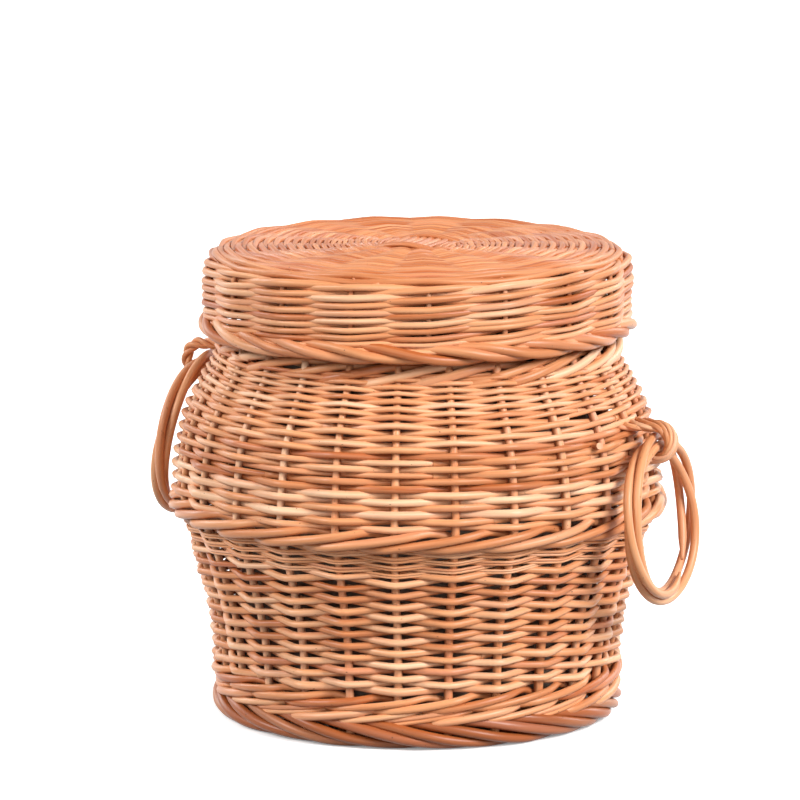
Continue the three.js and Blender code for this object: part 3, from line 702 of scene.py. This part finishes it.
def willow(name, colours, lean, painted_dimming, groove_shade):
    """Peeled willow: a ramp of three tones over rod tone and grain, with specks, faint ridges and
    painted shade.

    The grain attribute holds the cosine and sine of the turn round the rod and the length along it.
    """
    material = bpy.data.materials.new(name)
    recipe = Recipe(material)
    tone = recipe.node("ShaderNodeAttribute", {"attribute_name": "tone"}, output="Fac")
    grain = recipe.node("ShaderNodeAttribute", {"attribute_name": "grain"}, output="Vector")
    streaks = recipe.noise(grain, (1.5, 1.5, 18.0), 4.0)
    drift = recipe.noise(grain, (0.35, 0.35, 6.0), 1.0)
    warmth = recipe.noise(grain, (0.2, 0.2, 2.2), 1.0)
    specks = recipe.noise(grain, (1.3, 1.3, 260.0), 1.0)
    # painted shade where the lean is below 0: the whole ramp moves to its darker end
    shade = (tone * 0.74 + streaks * 0.62 + drift * 0.66 - (0.51 - lean)).clamped()
    stops = ((0.0, colours.russet), (0.5, colours.buff), (1.0, colours.pale))
    wood = recipe.node("ShaderNodeValToRGB", {"stops": stops}, {0: shade})
    pinker = recipe.mix(((warmth - 0.5) * 3.0).clamped() * 0.5, wood, (*colours.blush, 1))
    # bud scars, and painted dimming: patches darkened as painted shade
    scars_and_dimming = (((specks - 0.735) * 16.0).clamped() * 0.75 + drift * (2 * painted_dimming)).clamped()
    marked = recipe.mix(scars_and_dimming, pinker, (*colours.scar_and_shade, 1))
    # painted shade on the flanks and undersides of the rods, where shade falls between them
    groove_shaded = recipe.mix(recipe.groove_shade_mask() * groove_shade, marked, (*colours.groove_shade, 1))
    ridges = recipe.bump(0.18, 0.0006, streaks)
    gloss = streaks * 0.22 + 0.25
    recipe.principled(
        {"Base Color": groove_shaded, "Roughness": gloss, "Normal": ridges, "Specular IOR Level": 0.32}
    )
    return material


def finish(name):
    """The material of a finish, made once."""
    known = bpy.data.materials.get(name)
    return known or willow(name, bpy.context.scene.hamper_colours, *FINISHES[name])


def woven_cloth(name, tint):
    """Plain cloth: fine threads as a bump, and a soft drift of tone."""
    material = bpy.data.materials.new(name)
    recipe = Recipe(material)
    place = recipe.node("ShaderNodeTexCoord", output="Object")
    drift = recipe.noise(place, (18.0, 18.0, 18.0), 2.0)
    threads = recipe.noise(place, (900.0, 900.0, 900.0), 1.0)
    shaded = recipe.mix(drift, (*(value * 0.8 for value in tint), 1), (*tint, 1))
    bump = recipe.bump(0.2, 0.0004, threads)
    recipe.principled({"Base Color": shaded, "Roughness": 0.9, "Normal": bump})
    return material


class HAMPER_OT_stakes(bpy.types.Operator):
    """Sets up the upright stakes of the wall"""

    bl_idname = "hamper.stakes"
    bl_label = "Stakes"

    def execute(self, context):
        sizes = context.scene.hamper_sizes
        rods = Rods(11)
        distance = np.linspace(0, WALL.length, STAKE_POINTS)
        out, up = WALL.at(distance)
        taper = between(STAKE_TAPER, distance / WALL.length)
        for index in range(STAKES):
            sway = wobble(rods.rng, STAKE_SWAY, (1, 2))
            angle = index * TURN / STAKES + sway(distance * STAKE_WAVE) / WALL_MEAN
            radius = sizes.stake / 2 * rods.rng.normal(1, STAKE_SPREAD) * taper
            guide = around(angle + TURN / 4, 1.0, 0.0)
            rods.lay(around(angle, out, up), radius, guide)
        nodes = [f"stake_{index + 1:02d}" for index in range(STAKES)]
        rods.piece("wall_stakes", "basket", "stake", "willow_stake", nodes)
        return {"FINISHED"}


class HAMPER_OT_wall(bpy.types.Operator):
    """Weaves the wall: upsett, lower weave, belly and upper weave"""

    bl_idname = "hamper.wall"
    bl_label = "Wall"

    def stub(self, rods, diameter):
        """Lays a weaver's cut end that stands out of the wall."""
        share = np.linspace(0, 1, 6)
        distance = WALL.reach(STUB_HEIGHT) + share * 0.001
        out, up = WALL.at(distance, between(STUB_OUT, share))
        angle = STUB_ANGLE + between((0.03, 0.0), share)
        rods.lay(around(angle, out, up), diameter * 0.46, tone=0.45)

    def execute(self, context):
        sizes = context.scene.hamper_sizes
        stake = sizes.stake

        rods = Rods(21)
        for height in UPSETT_HEIGHTS:
            wale(rods, WALL.reach(height), UPSETT_RISE, sizes.upsett, stake, UPSETT_SPLIT)
        rods.piece("upsett", "basket", "upsett_wale", "willow_low")

        rods = Rods(22)
        low, slew, top = (WALL.reach(height) for height in LOWER_HEIGHTS)
        randing(rods, WALL, low, slew, LOWER_WEAVE, sizes.lower, stake)
        randing(rods, WALL, slew - SLEW_LAP, top, SLEW_WEAVE, sizes.slew, stake)
        rods.piece("lower_wall", "basket", "lower_weave", "willow")

        rods = Rods(23)
        wale(rods, WALL.reach(BELLY_HEIGHT), BELLY_RISE, sizes.belly, stake)
        rods.piece("belly", "basket", "belly_wale", "willow_low")

        rods = Rods(24)
        low, fine, top = (WALL.reach(height) for height in UPPER_HEIGHTS)
        randing(rods, WALL, low, fine, UPPER_WEAVE, sizes.upper, stake)
        randing(rods, WALL, fine - FINE_LAP, top, FINE_WEAVE, sizes.upper, stake)
        self.stub(rods, sizes.upper)
        rods.piece("upper_wall", "basket", "upper_weave", "willow")
        return {"FINISHED"}


class HAMPER_OT_borders(bpy.types.Operator):
    """Lays the foot border and the rim border"""

    bl_idname = "hamper.borders"
    bl_label = "Borders"

    def execute(self, context):
        sizes = context.scene.hamper_sizes
        rods = Rods(31, 10)
        laid_border(rods, FOOT_SECTION, FOOT_SPAN, sizes.foot)
        rods.piece("foot_roll", "basket", "foot_border", "willow_foot")
        rods = Rods(32, 10)
        laid_border(rods, RIM_SECTION, RIM_SPAN, sizes.rim, RIM_INSET)
        rods.piece("rim_roll", "basket", "rim_border", "willow")
        return {"FINISHED"}


def cross_sticks(body, prefix, diameter, seed):
    """Three sticks one way over three the other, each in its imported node's place."""
    rods = Rods(seed)
    nodes = [f"{prefix}_stick_{index + 1}" for index in range(STICKS)]
    share = np.linspace(-1, 1, STICK_POINTS)[:, None]
    for node in nodes:
        low, high = (np.array(corner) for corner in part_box(node))
        long_way = high - low > 0.1
        rods.lay((low + high) / 2 + share * ((high - low) / 2 * long_way), diameter / 2)
    rods.piece(f"{prefix}_sticks", body, "stick", "willow_plain", nodes)


class HAMPER_OT_base(bpy.types.Operator):
    """Weaves the base on its crossed sticks"""

    bl_idname = "hamper.base"
    bl_label = "Base"

    def execute(self, context):
        rods = Rods(41, 7)
        pairing(rods, BASE, SLATH_RIBS, BASE_EDGES[: BASE_OPENED + 1])
        pairing(rods, BASE, STAKES, BASE_EDGES[BASE_OPENED:])
        rods.piece("base_disc", "basket", "base_weave", "willow_plain")
        cross_sticks("basket", "base", context.scene.hamper_sizes.stick, 42)
        return {"FINISHED"}


class HAMPER_OT_liner(bpy.types.Operator):
    """Hangs the cloth liner from the rim"""

    bl_idname = "hamper.liner"
    bl_label = "Liner"

    def surface(self, bottom, hem, mouth):
        """Points of the hanging cloth, a row for each level from the bottom's middle to the hem.

        The radius is the outline's and a sum of waves of the angle, which fade at bottom and cuff.
        """
        side = BAG_RADIUS
        stations = (
            (0.003, bottom), (0.07, bottom), (side - 0.010, bottom),
            (side - 0.002, bottom + 0.004), (side, bottom + 0.014), (side, (bottom + hem) / 2),
            (side + 0.001, hem - 0.06), (mouth, hem - BAG_CUFF), (mouth, hem),
        )
        line = Outline(stations)
        angle = np.linspace(0, TURN, BAG_COLUMNS, endpoint=False)[None, :]
        radius, height = line.at(np.linspace(0, line.length, BAG_LEVELS)[:, None])
        above = np.clip((height - bottom) / 0.03, 0, 1)
        below = np.clip((hem - BAG_CUFF - height) / 0.05, 0, 1)
        folds = np.cos(12 * angle) + 0.4 * np.sin(5 * angle)
        folds = folds + 0.3 * np.sin(17 * angle + height * 14)
        return around(angle, radius + BAG_FOLD * (above * below) * folds, height)

    def execute(self, context):
        low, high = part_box("liner")
        bottom, hem = low.z + BAG_INSET, high.z
        points = self.surface(bottom, hem, high.x - BAG_INSET)
        grid = np.arange(BAG_LEVELS * BAG_COLUMNS).reshape(BAG_LEVELS, BAG_COLUMNS)
        right = np.roll(grid, -1, axis=1)
        quads = np.stack([grid[:-1], right[:-1], right[1:], grid[1:]], axis=-1).reshape(-1, 4)
        pole = np.full(BAG_COLUMNS, grid.size)
        fan = np.stack([pole, right[0], grid[0]], axis=1)
        corners = np.vstack([points.reshape(-1, 3), [(0, 0, bottom)]])
        mesh = bpy.data.meshes.new("bag")
        mesh.from_pydata(corners.tolist(), [], quads.tolist() + fan.tolist())
        mesh.polygons.foreach_set("use_smooth", np.ones(len(quads) + len(fan), bool))
        cloth = woven_cloth("cloth", context.scene.hamper_colours.cloth)
        bag = dress(mesh, "basket", ["liner"], cloth)
        solid = bag.modifiers.new("thickness", "SOLIDIFY")
        solid.thickness = context.scene.hamper_sizes.cloth
        solid.offset = -1
        return {"FINISHED"}


class HAMPER_OT_lid(bpy.types.Operator):
    """Weaves the lid: top, side, border and sticks"""

    bl_idname = "hamper.lid"
    bl_label = "Lid"

    def slath(self, rods):
        """Lays six sticks each way over the middle of the lid, with two bands bent over each side.

        A stick is level and straight. A band's height is a half cosine wave over the group of
        sticks that it crosses.
        """
        share = np.linspace(-1, 1, 25)
        for index in range(STICKS):
            across = np.full(share.size, (index - (STICKS - 1) / 2) * SLATH_STEP)
            level = np.full(share.size, SLATH_LEVEL)
            stick = np.stack([across, share * SLATH_REACH, level], axis=1)
            rods.lay(stick, SLATH_RADIUS * rods.rng.normal(1, SLATH_SPREAD))
            rods.lay(stick[:, SWAPPED] - (0, 0, SLATH_DROP), SLATH_RADIUS)
        bow = np.cos(share * math.pi / 2)
        height = BAND_LEVEL + BAND_BOW * bow
        for side in (-1, 1):
            for place in BAND_PLACES:
                away = side * (place + BAND_SWELL * bow)
                band = np.stack([share * BAND_REACH, away, height], axis=1)
                rods.lay(band, BAND_RADIUS, tone=BAND_TONE)
                rods.lay(band[:, SWAPPED] - (0, 0, BAND_DROP), BAND_RADIUS, tone=BAND_TONE)

    def execute(self, context):
        sizes = context.scene.hamper_sizes
        rib_angles = [index * TURN / LID_RIBS for index in range(LID_RIBS)]
        top = LID.length + MIDDLE
        side_top = LID.reach(LID_SIDE_TOP)

        rods = Rods(51)
        pairing(rods, LID, SLATH_RIBS, np.linspace(SLATH_REACH, SLATH_OPENED, 3), SLATH_FILL)
        pairing(rods, LID, LID_RIBS, np.linspace(SLATH_OPENED, LID_MIDDLE, 4), PAIR_FILL)
        begin, end = side_top + LID_TOP_GAP, top - LID_MIDDLE
        randing(rods, LID, begin, end, LID_TOP_WEAVE, LID_COARSE, sizes.rib * RIB_FLAT, LID_RIBS)
        out, up = LID.at(top - np.linspace(SLATH_REACH, LID_FLAT, RIB_POINTS))
        for angle in rib_angles:
            rods.lay(around(angle, out, up), sizes.rib * RIB_THIN / 2)
        self.slath(rods)
        rods.piece("lid_disc", "lid", "lid_top", "willow_lid")

        rods = Rods(52)
        low, weave, rib = LID.reach(LID_SIDE_LOW), LID_SIDE_WEAVE, sizes.rib * RIB_SIDE
        french_randing(rods, LID, low, side_top, weave, sizes.lid_wale, rib, LID_RIBS)
        out, up = LID.at(np.linspace(0, side_top, STICK_POINTS))
        for angle in rib_angles:
            guide = around(angle + TURN / 4, 1.0, 0.0)
            rods.lay(around(angle, out, up), sizes.rib / 2, guide)
        rods.piece("lid_side", "lid", "lid_wall", "willow_side")

        rods = Rods(53, 10)
        laid_border(rods, LID_SECTION, LID_SPAN, sizes.lid_border)
        rods.piece("lid_roll", "lid", "lid_border", "willow_roll")
        cross_sticks("lid", "lid", sizes.stick, 54)
        return {"FINISHED"}


class HAMPER_OT_handles(bpy.types.Operator):
    """Winds the ring handles and twists their eyes"""

    bl_idname = "hamper.handles"
    bl_label = "Handles"

    def axis(self, side):
        """A point on the axis that a side's ring swings about."""
        return np.array(JOINTS[f"{side}_ring_swing"]["pos_m"], float)

    def ring(self, side, outward, diameter, seed, lean):
        """A rod wound three times round a ring, its strands twisting slowly about each other.

        In the ring's own plane the path is centre + (ring's radius + a * cos(twist)) * spoke +
        a * sin(twist) * normal, where the twist makes four turns while the spoke makes three. The
        strands spread a little on the side away from the front.
        """
        rods = Rods(seed, 12)
        down = np.array([outward * math.sin(lean), 0, -math.cos(lean)])
        normal = np.cross(SIDEWAYS, down)
        centre = self.axis(side) + RING_RADIUS * down
        stop = RING_START + RING_LOOPS * TURN - RING_STOP
        turn = np.linspace(RING_START, stop, RING_POINTS)[:, None]
        strand = (diameter + RING_GAP) / (2 * math.sin(math.pi / RING_LOOPS))
        strand = strand * (1 + RING_SPREAD * np.clip(np.cos(turn - RING_FAR), 0, 1) ** 2)
        twist = turn * RING_TWISTS / RING_LOOPS
        spoke = -np.cos(turn) * down + np.sin(turn) * SIDEWAYS
        path = centre + (RING_RADIUS + strand * np.cos(twist)) * spoke
        path = path + strand * np.sin(twist) * normal
        ends = np.minimum(turn - turn[0], turn[-1] - turn)[:, 0]
        radius = diameter / 2 * np.clip(RING_TIP + ends / RING_TAPER, 0, 1)
        rods.lay(path, radius, normal, 0.5)
        name = f"{side}_ring"
        rods.piece(f"{name}_rods", f"{side}_handle", name, "willow_plain")

    def eye(self, side, outward, diameter, seed, reach, strands, lay, flatness=1.0, fan=0.0):
        """Thin rods twisted into a loop that leaves the wall above the ring and enters it below.

        The loop's middle line is two straight feet and a half circle, which reaches past the ring's
        axis. Each strand winds round that line on a small ellipse, once in the length of the lay,
        and the ellipse fans out along the wall at the feet.
        """
        rods = Rods(seed)
        axis = self.axis(side)
        foot = EYE_FOOT + reach
        arc = math.pi * EYE_BEND
        run = np.linspace(-foot, arc + foot, EYE_POINTS)
        angle = np.clip(run / EYE_BEND, 0, math.pi)
        straight = np.where(run < 0, run, 0) - np.where(run > arc, run - arc, 0)
        away = axis[0] + outward * (reach + EYE_BEND * np.sin(angle) + straight)
        height = axis[2] + EYE_LIFT + EYE_BEND * np.cos(angle)
        middle = np.stack([away, np.zeros(run.size), height], axis=1)
        over = np.cross(unit(np.gradient(middle, axis=0)), SIDEWAYS)
        circle = diameter / 2 / math.sin(math.pi / strands) * STRAND_SNUG
        past = np.clip(np.maximum(-run, run - arc) / foot, 0, 1)[:, None]
        wide = flatness * (1 + fan * past)
        for index in range(strands):
            twist = (index / strands * TURN + run / lay * TURN)[:, None]
            ellipse = wide * np.cos(twist) * SIDEWAYS + np.sin(twist) / flatness * over
            radius = diameter / 2 * rods.rng.normal(1, EYE_SPREAD)
            rods.lay(middle + circle * ellipse, radius, SIDEWAYS)
        name = f"{side}_eye"
        rods.piece(f"{name}_rods", "basket", name, "willow_plain")

    def execute(self, context):
        thin, thick = context.scene.hamper_sizes.eye, context.scene.hamper_sizes.ring
        self.eye("right", 1, thin, 61, reach=0.0014, strands=7, lay=0.075, flatness=1.7, fan=1.2)
        self.eye("left", -1, thin * LEFT_EYE, 62, reach=0.005, strands=3, lay=0.034)
        self.ring("right", 1, thick, 63, lean=math.radians(5))
        self.ring("left", -1, thick, 64, lean=math.radians(10.8))
        return {"FINISHED"}


def towards(turn, rise):
    """Direction from the hamper, by the turn about the upright axis and the rise above level."""
    level = math.cos(rise)
    return Vector((math.sin(turn) * level, -math.cos(turn) * level, math.sin(rise)))


class HAMPER_OT_stage(bpy.types.Operator):
    """Sets the floor, the light and the camera"""

    bl_idname = "hamper.stage"
    bl_label = "Stage"

    def floor(self, scene):
        """A wide floor that shows white, but throws little light back."""
        mesh = bpy.data.meshes.new("floor")
        low, high = -FLOOR_HALF, FLOOR_HALF
        corners = [(low, low, 0), (high, low, 0), (high, high, 0), (low, high, 0)]
        mesh.from_pydata(corners, [], [(0, 1, 2, 3)])
        floor = bpy.data.objects.new("floor", mesh)
        scene.collection.objects.link(floor)
        material = bpy.data.materials.new("floor")
        recipe = Recipe(material)
        seen = recipe.shown()
        tint = recipe.mix(seen, FLOOR_SHADE, (*scene.hamper_colours.floor, 1))
        place = recipe.node("ShaderNodeTexCoord", output="Object")
        away = recipe.vector("LENGTH", place, output="Value")
        clear = ((away - FLOOR_COVERED) * FLOOR_EDGE).clamped()
        glow = recipe.mix(seen * clear, (0, 0, 0, 1), FLOOR_GLOW)
        recipe.principled(
            {"Base Color": tint, "Roughness": 0.9, "Emission Color": glow, "Emission Strength": 1.0}
        )
        mesh.materials.append(material)

    def sky(self, scene):
        """A white background that gives little light."""
        world = bpy.data.worlds.new("studio")
        scene.world = world
        recipe = Recipe(world)
        dim, white = (
            recipe.node("ShaderNodeBackground", {}, {"Color": (1, 1, 1, 1), "Strength": strength})
            for strength in (SKY_LIGHT, 1.0)
        )
        sky = recipe.node("ShaderNodeMixShader", {}, {0: recipe.shown(), 1: dim, 2: white})
        recipe.node("ShaderNodeOutputWorld", {}, {"Surface": sky})

    def lamps(self, scene):
        """Broad suns on both sides, in front and behind."""
        for name, (turn, rise, power, spread) in LAMPS.items():
            lamp = bpy.data.lights.new(name, "SUN")
            lamp.energy = power
            lamp.angle = math.radians(spread)
            holder = bpy.data.objects.new(name, lamp)
            direction = towards(VIEW_TURN + math.radians(turn), math.radians(rise))
            holder.rotation_euler = direction.to_track_quat("Z", "Y").to_euler()
            scene.collection.objects.link(holder)

    def camera(self, scene):
        """A long lens that frames the hamper as in the photograph."""
        lens = bpy.data.cameras.new("camera")
        camera = bpy.data.objects.new("camera", lens)
        scene.collection.objects.link(camera)
        scene.camera = camera
        right = Vector((math.cos(VIEW_TURN), math.sin(VIEW_TURN), 0))
        back = towards(VIEW_TURN, VIEW_RISE)
        aim = Vector((0, 0, VIEW_HEIGHT)) - right * VIEW_SHIFT
        camera.location = aim + back * VIEW_DISTANCE
        camera.rotation_euler = back.to_track_quat("Z", "Y").to_euler()
        lens.sensor_width = SENSOR
        lens.lens = SENSOR * VIEW_DISTANCE / VIEW_WIDTH
        lens.clip_end = 100

    def execute(self, context):
        scene = context.scene
        scene.view_settings.view_transform = "Standard"
        self.floor(scene)
        self.sky(scene)
        self.lamps(scene)
        self.camera(scene)
        return {"FINISHED"}


OPERATORS = (
    HAMPER_OT_stakes,
    HAMPER_OT_wall,
    HAMPER_OT_borders,
    HAMPER_OT_base,
    HAMPER_OT_liner,
    HAMPER_OT_lid,
    HAMPER_OT_handles,
    HAMPER_OT_stage,
)


class HAMPER_PT_panel(bpy.types.Panel):
    """Lists the hamper's pieces and settings"""

    bl_label = "Hamper"
    bl_idname = "HAMPER_PT_panel"
    bl_space_type = "VIEW_3D"
    bl_region_type = "UI"
    bl_category = "Hamper"

    def draw(self, context):
        for group in (context.scene.hamper_sizes, context.scene.hamper_colours):
            box = self.layout.box()
            for key in group.__annotations__:
                box.prop(group, key)
        for operator in OPERATORS:
            self.layout.operator(operator.bl_idname)


CLASSES = (HamperSizes, HamperColours, *OPERATORS, HAMPER_PT_panel)


def register():
    for known in CLASSES:
        bpy.utils.register_class(known)
    bpy.types.Scene.hamper_sizes = bpy.props.PointerProperty(type=HamperSizes)
    bpy.types.Scene.hamper_colours = bpy.props.PointerProperty(type=HamperColours)


def unregister():
    del bpy.types.Scene.hamper_colours
    del bpy.types.Scene.hamper_sizes
    for known in reversed(CLASSES):
        bpy.utils.unregister_class(known)


def main():
    register()
    bpy.ops.hamper.stage()
    bpy.ops.hamper.stakes()
    bpy.ops.hamper.wall()
    bpy.ops.hamper.borders()
    bpy.ops.hamper.base()
    bpy.ops.hamper.liner()
    bpy.ops.hamper.lid()
    bpy.ops.hamper.handles()


if __name__ == "__main__":
    main()
